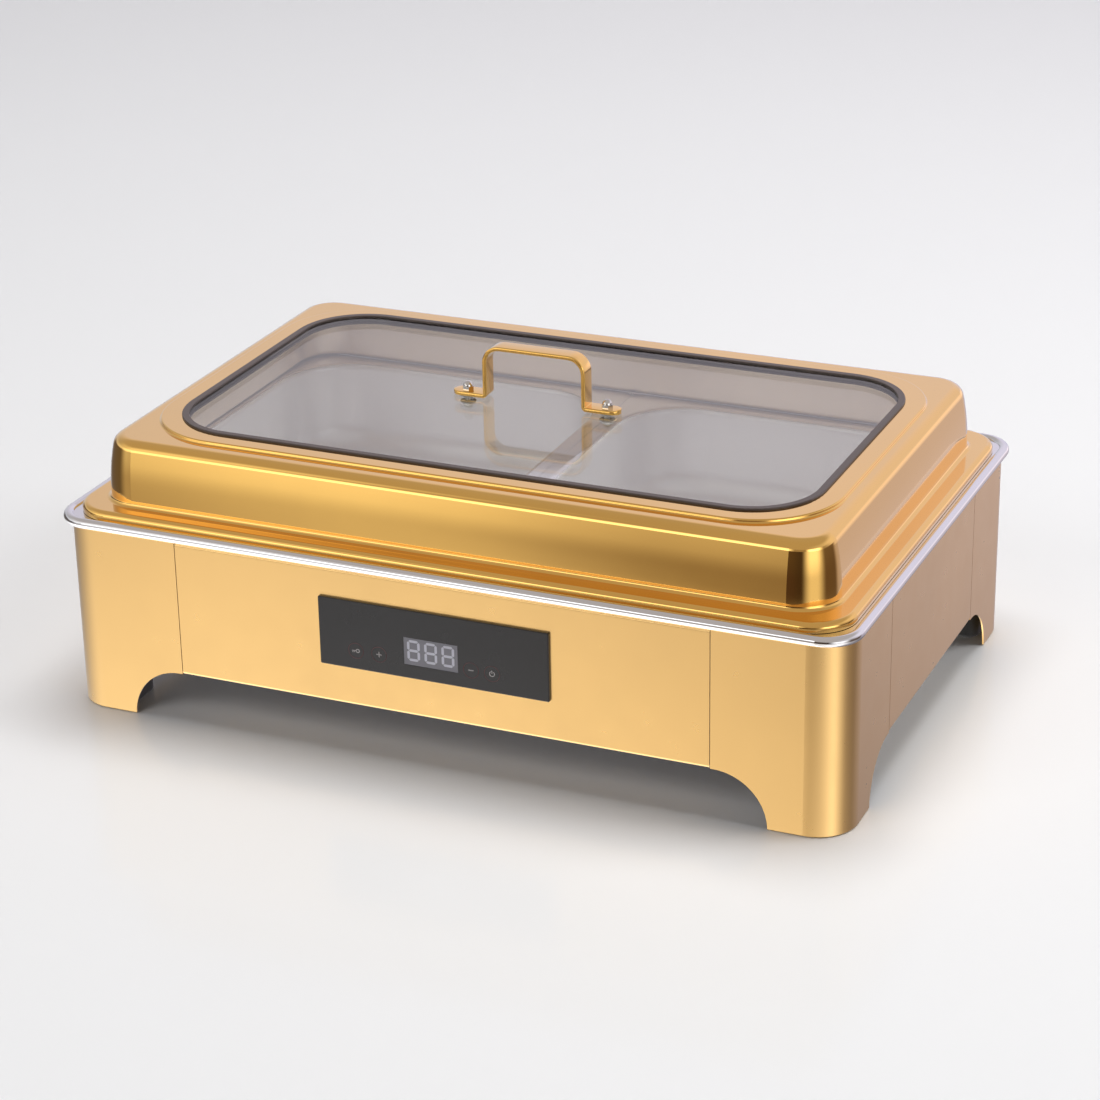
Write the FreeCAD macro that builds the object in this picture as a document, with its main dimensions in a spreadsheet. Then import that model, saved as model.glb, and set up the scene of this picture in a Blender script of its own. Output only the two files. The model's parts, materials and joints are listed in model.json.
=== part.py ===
"""Electric chafing dish: a sheet-metal housing on four legs, a water pan, two food pans and a glazed lid.

Frame: millimetres, +X to the right along the long side, +Y to the back, +Z up.
The origin is the centre of the footprint, on the surface that the feet stand on.
"""
import FreeCAD, Part
import math
import os
import Sketcher

V = FreeCAD.Vector
doc = FreeCAD.newDocument("chafing_dish")
sheet = doc.addObject("Spreadsheet::Sheet", "sizes")

SIZES = {
    # housing
    "housing_width": 550, "housing_depth": 360, "housing_corner": 27, "housing_top": 130.6,
    "metal": 1.0, "panel_bottom": 36, "seam_inset": 88, "seam_gap": 0.5,
    "leg_width": 50, "arch_radius": 36, "leg_bottom": 1.0,
    "top_flange": 14, "return_flange": 10, "strap_width": 24,
    "tray_height": 37, "tray_wall": 12, "tray_inset": 3.5,
    "foot_size": 34, "foot_height": 22, "foot_inset": 25,
    # water pan
    "rim_width": 557, "rim_depth": 367, "rim_corner": 24, "bead_radius": 3.6, "bead_height": 134.5,
    "ledge_height": 136, "pan_metal": 0.8, "well_width": 514, "well_depth": 309, "well_corner": 52,
    "well_bottom": 58.8, "well_lip": 3, "well_round": 12, "rim_inset": 3, "body_clearance": 0.3,
    # food pans
    "food_flange_x": 264.6, "food_flange_y": 324.6, "food_pitch": 265, "food_flange_corner": 8,
    "food_opening_x": 239, "food_opening_y": 299, "food_corner": 50, "food_top": 141, "food_depth": 64,
    "food_lip": 5, "food_round": 20,
    # lid
    "lid_width": 540, "lid_depth": 351, "lid_corner": 28, "lid_metal": 0.8, "lid_edge": 4,
    "flange_height": 142.5, "dome_width": 511, "dome_depth": 322, "dome_corner": 27, "dome_cove": 3,
    "deck_height": 186.5, "dome_lean": 11.6, "shoulder_radius": 8,
    "ledge_outer_x": 481, "ledge_outer_y": 285, "ledge_corner": 60, "step_radius": 1.2,
    "window_width": 452, "window_depth": 257, "window_corner": 49, "gasket_flap": 5.0,
    "gasket_cover": 2.6, "gasket_web": 1.2, "glass": 4,
    # handle
    "handle_shift": -5, "handle_span": 75, "handle_top": 228, "handle_strip": 13, "handle_stock": 3,
    "handle_bend": 12.5, "handle_foot_bend": 3.5, "handle_reach": 122, "screw_pitch": 102, "screw_radius": 2.5,
    "washer": 1.0,
    # controls
    "fascia_width": 161.5, "fascia_height": 47.7, "fascia_low": 63.3, "fascia_shift": -0.75,
    "fascia_proud": 2.0, "cutout_margin": 5, "display_left": -21, "display_width": 38, "display_low": 73,
    "display_height": 19, "button_height": 76.5, "touch_pad_radius": 3.5, "box_depth": 20, "box_wall": 1.6,
    # heater and electrics
    "plate_width": 300, "plate_depth": 190, "plate_top": 57.6, "plate_thick": 2,
    "element_radius": 3.5, "heater_tray_width": 330, "heater_tray_depth": 220, "heater_tray_height": 41,
    "mat_thick": 5, "inlet_x": 150, "inlet_z": 84, "board_thick": 1.6,
}
for line, (alias, number) in enumerate(SIZES.items(), start=1):
    sheet.set(f"A{line}", alias)
    sheet.set(f"B{line}", str(number))
    sheet.setAlias(f"B{line}", alias)
doc.recompute()


class Size:
    """A number together with the spreadsheet formula that gives it."""

    def __init__(self, number, formula):
        self.number = number
        self.formula = formula

    def __add__(self, other):
        other = as_size(other)
        return Size(self.number + other.number, f"({self.formula} + {other.formula})")

    def __sub__(self, other):
        other = as_size(other)
        return Size(self.number - other.number, f"({self.formula} - {other.formula})")

    def __mul__(self, other):
        other = as_size(other)
        return Size(self.number * other.number, f"({self.formula} * {other.formula})")

    def __truediv__(self, other):
        other = as_size(other)
        return Size(self.number / other.number, f"({self.formula} / {other.formula})")

    def __rsub__(self, other):
        return as_size(other) - self

    def __neg__(self):
        return self * -1

    __radd__ = __add__
    __rmul__ = __mul__


def as_size(x):
    return x if isinstance(x, Size) else Size(float(x), f"({float(x)})")


class Sizes:
    """The sheet's cells by name, as Size values."""

    def __getattr__(self, alias):
        return Size(float(sheet.get(alias)), f"sizes.{alias}")


s = Sizes()


def num(x):
    return as_size(x).number


def bind(thing, name, size):
    """Set a property and tie it to the sheet."""
    size = as_size(size)
    if "sizes." in size.formula:
        thing.setExpression(name, size.formula)
    else:
        setattr(thing, name, size.number)


# ---- sketches -----------------------------------------------------------------------------------------------------

def rounded(half_x, half_y, radius, x=0, y=0):
    """Corner points of a rounded rectangle, anticlockwise. A third number is the radius of the arc that follows."""
    left, right = as_size(x) - half_x, as_size(x) + half_x
    low, high = as_size(y) - half_y, as_size(y) + half_y
    return [(left + radius, low), (right - radius, low, radius), (right, low + radius), (right, high - radius, radius),
            (right - radius, high), (left + radius, high, radius), (left, high - radius), (left, low + radius, radius)]


def rectangle(left, low, right, high):
    return [(left, low), (right, low), (right, high), (left, high)]


def mirrored(points, flip_x, flip_y):
    """The same outline on another side: flips are 1 or -1. A flip turns each arc's bend the other way."""
    turn = flip_x * flip_y
    return [(as_size(p[0]) * flip_x, as_size(p[1]) * flip_y) + tuple(as_size(r) * turn for r in p[2:]) for p in points]


def add_side(sketch, start, end, radius):
    """One straight or curved side. Returns its index and which of its ends come first and last."""
    a, b = V(num(start[0]), num(start[1]), 0), V(num(end[0]), num(end[1]), 0)
    if radius is None:
        return sketch.addGeometry(Part.LineSegment(a, b), False), 1, 2
    bend = num(radius)
    chord = b - a
    across = V(-chord.y, chord.x, 0).normalize() * math.copysign(1, bend)
    rise = math.sqrt(max(bend * bend - chord.Length ** 2 / 4, 0))
    centre = (a + b) * 0.5 + across * rise
    first, last = (a, b) if bend > 0 else (b, a)
    angles = [math.atan2(p.y - centre.y, p.x - centre.x) for p in (first, last)]
    arc = Part.ArcOfCircle(Part.Circle(centre, V(0, 0, 1), abs(bend)), *angles)
    side = sketch.addGeometry(arc, False)
    return (side, 1, 2) if bend > 0 else (side, 2, 1)


def outline(sketch, points):
    """Draw a closed loop. A point is (x, y), or (x, y, radius) before an arc: positive turns left, negative right."""
    sides = []
    for i, point in enumerate(points):
        radius = point[2] if len(point) > 2 else None
        sides.append(add_side(sketch, point, points[(i + 1) % len(points)], radius))
    for i, (side, first, last) in enumerate(sides):
        after = sides[(i + 1) % len(sides)]
        sketch.addConstraint(Sketcher.Constraint("Coincident", side, last, after[0], after[1]))
        fixed = [("DistanceX", points[i][0]), ("DistanceY", points[i][1])]
        for kind, size in fixed:
            index = sketch.addConstraint(Sketcher.Constraint(kind, -1, 1, side, first, num(size)))
            bind_constraint(sketch, index, size)
        if len(points[i]) > 2:
            radius = as_size(points[i][2])
            radius = radius if radius.number > 0 else -radius
            index = sketch.addConstraint(Sketcher.Constraint("Radius", side, radius.number))
            bind_constraint(sketch, index, radius)


def bind_constraint(sketch, index, size):
    size = as_size(size)
    if "sizes." in size.formula:
        sketch.setExpression(f"Constraints[{index}]", size.formula)


def circle(sketch, x, y, radius):
    side = sketch.addGeometry(Part.Circle(V(num(x), num(y), 0), V(0, 0, 1), num(radius)), False)
    for kind, size in (("DistanceX", x), ("DistanceY", y)):
        index = sketch.addConstraint(Sketcher.Constraint(kind, -1, 1, side, 3, num(size)))
        bind_constraint(sketch, index, size)
    index = sketch.addConstraint(Sketcher.Constraint("Radius", side, num(radius)))
    bind_constraint(sketch, index, radius)


def draw(body, plane, height, loops, circles=()):
    """A sketch on one of the body's origin planes, moved to a height along +Z, +Y or +X."""
    sketch = body.newObject("Sketcher::SketchObject", f"{body.Label}_sketch")
    support = next(o for o in body.Origin.OriginFeatures if o.Role == f"{plane}_Plane")
    sketch.AttachmentSupport = [(support, "")]
    sketch.MapMode = "FlatFace"
    offset = -as_size(height) if plane == "XZ" else as_size(height)
    sketch.AttachmentOffset = FreeCAD.Placement(V(0, 0, offset.number), FreeCAD.Rotation())
    if "sizes." in offset.formula:
        sketch.setExpression("AttachmentOffset.Base.z", offset.formula)
    for loop in loops:
        outline(sketch, loop)
    for x, y, radius in circles:
        circle(sketch, x, y, radius)
    return sketch


# ---- features -----------------------------------------------------------------------------------------------------

def new_body(label):
    body = doc.addObject("PartDesign::Body", label)
    body.Label = label
    parts.append(body)
    return body


def prism(body, plane, low, high, loops, circles=(), cut=False):
    """Pad or pocket between two heights along the plane's axis (Z for XY, Y for XZ, X for YZ)."""
    before = body.Shape.Volume if body.Tip else 0
    start = high if plane == "XZ" else low
    sketch = draw(body, plane, start, loops, circles)
    kind = "PartDesign::Pocket" if cut else "PartDesign::Pad"
    feature = body.newObject(kind, f"{body.Label}_{'cut' if cut else 'pad'}")
    feature.Profile = sketch
    feature.Reversed = cut
    bind(feature, "Length", as_size(high) - low)
    doc.recompute()
    if cut and not body.Shape.Volume < before:
        raise RuntimeError(f"{body.Label}: the pocket removed nothing")
    return feature


def pipe(body, section, path, height, at=0):
    """Sweep a section (y, z points at the path's front side) along a closed path (x, y points) at a height."""
    spine = draw(body, "XY", height, [path])
    profile = draw(body, "YZ", at, [section])
    feature = body.newObject("PartDesign::AdditivePipe", f"{body.Label}_pipe")
    feature.Profile = profile
    feature.Spine = (spine, [f"Edge{i + 1}" for i in range(len(path))])
    doc.recompute()
    return feature


def fillet(body, radius, wanted):
    """Round the edges of the body's tip that the test picks."""
    base = body.Tip
    names = [f"Edge{i + 1}" for i, edge in enumerate(base.Shape.Edges) if wanted(edge)]
    if not names:
        raise RuntimeError(f"{body.Label}: no edge to round")
    feature = body.newObject("PartDesign::Fillet", f"{body.Label}_fillet")
    feature.Base = (base, names)
    bind(feature, "Radius", radius)
    doc.recompute()
    return feature


def group(label, shapes):
    """A node of shapes made with Part's own functions: repeated fasteners and small electrical pieces."""
    feature = doc.addObject("Part::Feature", label)
    feature.Label = label
    feature.Shape = Part.makeCompound(shapes) if len(shapes) > 1 else shapes[0]
    feature.Placement = FreeCAD.Placement()
    parts.append(feature)
    return feature


def box(left, front, low, right, back, high):
    return Part.makeBox(num(right) - num(left), num(back) - num(front), num(high) - num(low),
                        V(num(left), num(front), num(low)))


def rod(radius, low, high, x=0, y=0):
    return Part.makeCylinder(num(radius), num(high) - num(low), V(num(x), num(y), num(low)))


def rod_y(radius, front, back, x, z):
    return Part.makeCylinder(num(radius), num(back) - num(front), V(num(x), num(front), num(z)), V(0, 1, 0))


def hexagon(across, low, high, x, y):
    corner = num(across) / math.sqrt(3)
    points = [V(num(x) + corner * math.cos(k * math.pi / 3), num(y) + corner * math.sin(k * math.pi / 3), num(low))
              for k in range(7)]
    return Part.Face(Part.makePolygon(points)).extrude(V(0, 0, num(high) - num(low)))


def wire_along(points, radius):
    """A round wire along straight runs joined by the largest tangent arcs that the runs allow."""
    points = [V(*p) for p in points]
    edges = []
    start = points[0]
    for before, corner, after in zip(points, points[1:], points[2:]):
        back, on = (before - corner), (after - corner)
        turn = math.pi - back.getAngle(on)
        reach = 0.45 * min(back.Length, on.Length)
        arc_radius = reach / math.tan(turn / 2)
        first = corner + V(back).normalize() * reach
        last = corner + V(on).normalize() * reach
        towards = (V(back).normalize() + V(on).normalize()).normalize()
        middle = corner + towards * (math.hypot(arc_radius, reach) - arc_radius)
        edges.append(Part.LineSegment(start, first).toShape())
        edges.append(Part.Arc(first, middle, last).toShape())
        start = last
    edges.append(Part.LineSegment(start, points[-1]).toShape())
    path = Part.Wire(edges)
    ring = Part.Wire(Part.makeCircle(radius, points[0], points[1] - points[0]))
    swept = path.makePipeShell([ring], True, True)
    expected = math.pi * radius ** 2 * path.Length
    if abs(swept.Volume - expected) > 0.02 * expected:
        raise RuntimeError("a wire has the wrong volume")
    return swept


def wire_with_bends(points, radius, bend):
    """A round bar along straight runs joined by arcs of one radius."""
    points = [V(*p) for p in points]
    edges = []
    start = points[0]
    for before, corner, after in zip(points, points[1:], points[2:]):
        back, on = V(before - corner).normalize(), V(after - corner).normalize()
        reach = bend
        first, last = corner + back * reach, corner + on * reach
        middle = corner + (back + on).normalize() * (math.sqrt(2) - 1) * bend
        if (first - start).Length > 0.01:
            edges.append(Part.LineSegment(start, first).toShape())
        edges.append(Part.Arc(first, middle, last).toShape())
        start = last
    edges.append(Part.LineSegment(start, points[-1]).toShape())
    ring = Part.Wire(Part.makeCircle(radius, points[0], points[1] - points[0]))
    return Part.Wire(edges).makePipeShell([ring], True, True)


def grid(xs, ys):
    return [(x, y) for x in xs for y in ys]


parts = []
half_width = s.housing_width / 2
half_depth = s.housing_depth / 2
seam_x = half_width - s.seam_inset
seam_y = half_depth - s.seam_inset
CORNERS = {"front_left": (-1, -1), "front_right": (1, -1), "back_left": (-1, 1), "back_right": (1, 1)}


# ---- housing ------------------------------------------------------------------------------------------------------

def corner_strip(width):
    """Plan of a strip that follows the housing's back right corner from seam to seam."""
    inner = s.housing_corner - width
    return [(seam_x, half_depth - width), (half_width - s.housing_corner, half_depth - width, -inner),
            (half_width - width, half_depth - s.housing_corner), (half_width - width, seam_y),
            (half_width, seam_y), (half_width, half_depth - s.housing_corner, s.housing_corner),
            (half_width - s.housing_corner, half_depth), (seam_x, half_depth)]


def arch(leg_inner, seam):
    """The opening beside a leg: a quarter arc from the leg's inner edge up to the panel's bottom edge."""
    return [(leg_inner, 0, s.arch_radius), (leg_inner - s.arch_radius, s.panel_bottom),
            (seam - 1, s.panel_bottom), (seam - 1, 0)]


def make_corner_legs():
    for name, (side_x, side_y) in CORNERS.items():
        body = new_body(f"corner_leg_{name}")
        wall = mirrored(corner_strip(s.metal), side_x, side_y)
        prism(body, "XY", s.leg_bottom, s.housing_top, [wall])
        flange = mirrored(corner_strip(s.top_flange), side_x, side_y)
        prism(body, "XY", s.housing_top - s.metal, s.housing_top, [flange])
        inner_x, inner_y = half_width - s.housing_corner, half_depth - s.housing_corner
        front_arch = mirrored(arch(half_width - s.leg_width, seam_x), side_x, 1)
        side_arch = mirrored(arch(half_depth - s.leg_width, seam_y), side_y, 1)
        span_y = (inner_y, half_depth + 1) if side_y > 0 else (-half_depth - 1, -inner_y)
        span_x = (inner_x, half_width + 1) if side_x > 0 else (-half_width - 1, -inner_x)
        prism(body, "XZ", span_y[0], span_y[1], [front_arch], cut=True)
        prism(body, "YZ", span_x[0], span_x[1], [side_arch], cut=True)


def channel(face, side):
    """Section of a panel: a flat face with its top and bottom edges folded inwards. side is 1 or -1."""
    bend = 2.0
    inner_bend = bend - s.metal
    low, high = s.panel_bottom, s.housing_top
    points = [(face - s.return_flange, low), (face - bend, low, bend), (face, low + bend), (face, high - bend, bend),
              (face - bend, high), (face - s.top_flange, high), (face - s.top_flange, high - s.metal),
              (face - bend, high - s.metal, -inner_bend), (face - s.metal, high - bend),
              (face - s.metal, low + bend, -inner_bend), (face - bend, low + s.metal),
              (face - s.return_flange, low + s.metal)]
    return mirrored(points, side, 1)


def cutout():
    """The control opening in the front panel."""
    left = s.fascia_shift - s.fascia_width / 2 + s.cutout_margin
    right = s.fascia_shift + s.fascia_width / 2 - s.cutout_margin
    low = s.fascia_low + s.cutout_margin
    return rectangle(left, low, right, s.fascia_low + s.fascia_height - s.cutout_margin)


INLET = {"half_x": 13.5, "half_z": 10.0, "screw_pitch": 40.0, "screw": 1.6}


def make_panels():
    end_x, end_y = seam_x - s.seam_gap, seam_y - s.seam_gap
    for name, side in (("front_panel", -1), ("back_panel", 1)):
        body = new_body(name)
        prism(body, "YZ", -end_x, end_x, [channel(half_depth, side)])
        if side < 0:
            prism(body, "XZ", -half_depth - 1, -half_depth + 5, [cutout()], cut=True)
        else:
            x, z = s.inlet_x, s.inlet_z
            hole = rectangle(x - INLET["half_x"], z - INLET["half_z"], x + INLET["half_x"], z + INLET["half_z"])
            screws = [(x + k * INLET["screw_pitch"] / 2, z, INLET["screw"]) for k in (-1, 1)]
            prism(body, "XZ", half_depth - 5, half_depth + 1, [hole], screws, cut=True)
    for name, side in (("left_panel", -1), ("right_panel", 1)):
        body = new_body(name)
        prism(body, "XZ", -end_y, end_y, [channel(half_width, side)])


def make_seam_straps():
    """Flat straps behind the eight seams, which join the panels to the corner legs."""
    body = new_body("seam_straps")
    half = s.strap_width / 2
    face_x, face_y = half_width - s.metal, half_depth - s.metal
    loops = []
    for side_x, side_y in CORNERS.values():
        along = rectangle(seam_x - half, face_y - 1, seam_x + half, face_y)
        across = rectangle(face_x - 1, seam_y - half, face_x, seam_y + half)
        loops += [mirrored(along, side_x, side_y), mirrored(across, side_x, side_y)]
    prism(body, "XY", s.panel_bottom + 4, s.housing_top - 4, loops)


def make_bottom_tray():
    body = new_body("bottom_tray")
    half_x, half_y = half_width - s.tray_inset, half_depth - s.tray_inset
    corner = s.housing_corner - s.tray_inset
    outer = rounded(half_x, half_y, corner)
    inner = rounded(half_x - s.metal, half_y - s.metal, corner - s.metal)
    prism(body, "XY", s.tray_height, s.tray_height + s.tray_wall, [outer])
    prism(body, "XY", s.tray_height + s.metal, s.tray_height + s.tray_wall + 1, [inner], cut=True)
    slot_half_x, slot_half_y, pitch = 2.0, 20.0, 14.0
    slots = [rounded(slot_half_x, slot_half_y, 1.9, side * 215 + k * pitch, row)
             for side in (-1, 1) for k in (-1, 0, 1) for row in (-85, 85)]
    prism(body, "XY", s.tray_height - 1, s.tray_height + s.metal + 1, slots, cut=True)


def foot_places():
    x, y = half_width - s.foot_inset, half_depth - s.foot_inset
    return [(x * side_x, y * side_y) for side_x, side_y in CORNERS.values()]


def make_feet():
    body = new_body("rubber_feet")
    half = s.foot_size / 2
    prism(body, "XY", 0, s.foot_height, [rounded(half, half, 8, x, y) for x, y in foot_places()])
    fillet(body, 2.0, lambda edge: max(abs(v.Z) for v in edge.Vertexes) < 0.01)
    head = [(x, y, 6.0) for x, y in foot_places()]
    shank = [(x, y, 2.6) for x, y in foot_places()]
    prism(body, "XY", -1, 10, [], head, cut=True)
    prism(body, "XY", 9, s.foot_height + 1, [], shank, cut=True)

    body = new_body("foot_brackets")
    plate, wall = 1.5, 13.0
    top = s.tray_height
    loops = [rectangle(x - wall, y - wall, x + wall, y + wall) for x, y in foot_places()]
    prism(body, "XY", s.foot_height, top, loops)
    hollow = [rectangle(x - wall - 1, y - wall + plate, x + wall + 1, y + wall - plate) for x, y in foot_places()]
    prism(body, "XY", s.foot_height + plate, top - plate, hollow, cut=True)
    prism(body, "XY", s.foot_height - 1, s.foot_height + plate + 1, [], shank, cut=True)

    screws = []
    for x, y in foot_places():
        screws.append(rod(4.5, 7, 10, x, y).fuse(rod(2.5, 10, 30, x, y)))
    group("foot_screws", screws)
    nuts = [hexagon(8, s.foot_height + 1.5, s.foot_height + 5.5, x, y).cut(rod(2.55, 10, 40, x, y))
            for x, y in foot_places()]
    group("foot_nuts", nuts)


# ---- pans ---------------------------------------------------------------------------------------------------------

def basin(body, half_x, half_y, corner, top, floor, metal, lip, bottom, draft, at=0):
    """The drawn wall and floor of a pan: rounded lip, leaning wall and rounded bottom, swept round the opening."""
    tilt = math.radians(draft)
    cos, sin = math.cos(tilt), math.sin(tilt)
    length = (as_size(top) - floor - lip - bottom + (as_size(lip) + bottom) * sin) / cos
    inward = length * sin + as_size(lip) * (cos - 1) + as_size(bottom) * cos
    edge = -as_size(half_y)
    lip_z, bottom_z, bottom_y = as_size(top) - lip, as_size(floor) + bottom, edge + inward

    def on_lip(radius):
        return edge - lip + as_size(radius) * cos, lip_z + as_size(radius) * sin

    def on_bottom(radius):
        return bottom_y - as_size(radius) * cos, bottom_z - as_size(radius) * sin

    inside_lip = as_size(lip) - metal
    outside_bottom = as_size(bottom) + metal
    section = [(edge - lip, top, -as_size(lip)), on_lip(lip), on_bottom(bottom) + (as_size(bottom),),
               (bottom_y, floor), (bottom_y, as_size(floor) - metal, -outside_bottom), on_bottom(outside_bottom),
               on_lip(inside_lip) + (inside_lip,), (edge - lip, as_size(top) - metal)]
    pipe(body, section, rounded(half_x, half_y, corner, at), top, at)
    floor_plate = rounded(as_size(half_x) - inward, as_size(half_y) - inward, as_size(corner) - inward, at)
    prism(body, "XY", as_size(floor) - metal, floor, [floor_plate])


def make_water_pan():
    body = new_body("water_pan")
    half_x, half_y, lip = s.well_width / 2, s.well_depth / 2, s.well_lip
    centre_x, centre_y = s.rim_width / 2 - s.bead_radius, s.rim_depth / 2 - s.bead_radius
    bead_corner = s.rim_corner - s.bead_radius
    outer, inner = s.bead_radius, s.bead_radius - s.pan_metal
    start, turn, end = 162, 20, -105

    def on_bead(radius, degrees):
        angle = math.radians(degrees)
        return -centre_y - radius * math.cos(angle), s.bead_height + radius * math.sin(angle)

    section = [on_bead(outer, start) + (outer,), on_bead(outer, turn) + (outer,), on_bead(outer, end),
               on_bead(inner, end) + (-inner,), on_bead(inner, turn) + (-inner,), on_bead(inner, start)]
    pipe(body, section, rounded(centre_x, centre_y, bead_corner), s.bead_height)
    inset, draft = s.rim_inset, 3.0
    ledge = rounded(centre_x - inset, centre_y - inset, bead_corner - inset)
    hole = rounded(half_x + lip, half_y + lip, s.well_corner + lip)
    prism(body, "XY", s.ledge_height - s.pan_metal, s.ledge_height, [ledge, hole])
    basin(body, half_x, half_y, s.well_corner, s.ledge_height, s.well_bottom, s.pan_metal, lip, s.well_round, draft)


def make_food_pans():
    """Two half-size pans side by side, each hung by its flange on the water pan's ledge."""
    for name, side in (("food_pan_left", -1), ("food_pan_right", 1)):
        body = new_body(name)
        x, lip, draft = s.food_pitch / 2 * side, s.food_lip, 5.0
        half_x, half_y = s.food_flange_x / 2, s.food_flange_y / 2
        low = s.ledge_height + s.body_clearance
        flange = rounded(half_x, half_y, s.food_flange_corner, x)
        inside = rounded(half_x - s.pan_metal, half_y - s.pan_metal, s.food_flange_corner - s.pan_metal, x)
        open_x, open_y = s.food_opening_x / 2, s.food_opening_y / 2
        hole = rounded(open_x + lip, open_y + lip, s.food_corner + lip, x)
        prism(body, "XY", s.food_top - s.pan_metal, s.food_top, [flange, hole])
        prism(body, "XY", low, s.food_top - s.pan_metal, [flange, inside])
        basin(body, open_x, open_y, s.food_corner, s.food_top, s.food_top - s.food_depth, s.pan_metal, lip,
              s.food_round, draft, x)


# ---- lid ----------------------------------------------------------------------------------------------------------

def make_lid_shell():
    body = new_body("lid_shell")
    metal, edge = s.lid_metal, s.lid_edge
    half_x, half_y = s.lid_width / 2, s.lid_depth / 2
    front, low, flange = -half_y, s.ledge_height + s.body_clearance, s.flange_height
    lip = [(front, low), (front + metal, low), (front + metal, flange - edge, -(edge - metal)),
           (front + edge, flange - metal), (front + edge, flange, edge), (front, flange - edge)]
    pipe(body, lip, rounded(half_x, half_y, s.lid_corner), flange)

    dome_x, dome_y, cove = s.dome_width / 2, s.dome_depth / 2, s.dome_cove
    plate = rounded(half_x - edge, half_y - edge, s.lid_corner - edge)
    hole = rounded(dome_x + cove, dome_y + cove, s.dome_corner + cove)
    prism(body, "XY", flange - metal, flange, [plate, hole])

    wall, deck = -dome_y, s.deck_height
    rise, small = deck - flange - cove, s.shoulder_radius
    large = (s.dome_lean * s.dome_lean + (rise - small) * (rise - small) - small * small)
    large = large / ((s.dome_lean - small) * 2)
    span_y = s.dome_lean - small - (large - small)
    share = (large / (large - small))
    centre_y, centre_z = wall + large, flange + cove
    touch_y = centre_y + span_y * share
    touch_z = centre_z + (rise - small) * share
    inner_share = (large - metal) / (large - small)
    inner_y = centre_y + span_y * inner_share
    inner_z = centre_z + (rise - small) * inner_share
    top_y = wall + s.dome_lean
    section = [(wall - cove, flange, cove), (wall, centre_z, -large), (touch_y, touch_z, -small), (top_y, deck),
               (top_y, deck - metal, small - metal), (inner_y, inner_z, large - metal),
               (wall + metal, centre_z, -(cove + metal)), (wall - cove, flange - metal)]
    pipe(body, section, rounded(dome_x, dome_y, s.dome_corner), deck)

    lean, step = s.dome_lean, s.step_radius
    ledge_x, ledge_y, corner = s.ledge_outer_x / 2, s.ledge_outer_y / 2, s.ledge_corner
    deck_plate = rounded(dome_x - lean, dome_y - lean, s.dome_corner - lean)
    prism(body, "XY", deck - metal, deck, [deck_plate, rounded(ledge_x, ledge_y, corner)])
    y, middle = -ledge_y, deck + step
    rise_section = [(y, deck, step), (y + step, middle, -step), (y + step * 2, middle + step),
                    (y + step * 2, middle + step - metal, step - metal), (y + step + metal, middle, -(step + metal)),
                    (y, deck - metal)]
    pipe(body, rise_section, rounded(ledge_x, ledge_y, corner), deck)
    top = deck + step * 2
    inset = step * 2
    cover = s.gasket_cover
    opening = rounded(s.window_width / 2 - cover, s.window_depth / 2 - cover, s.window_corner - cover)
    prism(body, "XY", top - metal, top, [rounded(ledge_x - inset, ledge_y - inset, corner - inset), opening])
    return top


def make_window(top):
    """The glass and the rubber section that holds it in the lid."""
    half_x, half_y, corner = s.window_width / 2, s.window_depth / 2, s.window_corner
    cover, web, flap, round_edge = s.gasket_cover, s.gasket_web, s.gasket_flap, 0.7
    glass_low, metal_low = top - s.glass, top - s.lid_metal
    front, crown, lips = -half_y, top + 1.4, 1.0
    section = [(front, top), (front + cover, top), (front + cover, metal_low), (front + 1.5, metal_low),
               (front + 1.5, metal_low - lips), (front + cover, metal_low - lips), (front + cover, glass_low - lips),
               (front + flap, glass_low - lips), (front + flap, glass_low), (front + cover + web, glass_low),
               (front + cover + web, top), (front + flap, top), (front + flap, crown - round_edge, round_edge),
               (front + flap - round_edge, crown), (front + round_edge, crown, round_edge),
               (front, crown - round_edge)]
    body = new_body("window_gasket")
    pipe(body, section, rounded(half_x, half_y, corner), top)
    body = new_body("window_glass")
    inset = cover + web
    pane = rounded(half_x - inset, half_y - inset, corner - inset)
    prism(body, "XY", glass_low, top, [pane], [(x, 0, s.screw_radius + 0.5) for x in screw_places()])


def screw_places():
    return [s.handle_shift + s.screw_pitch / 2 * side for side in (-1, 1)]


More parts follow.
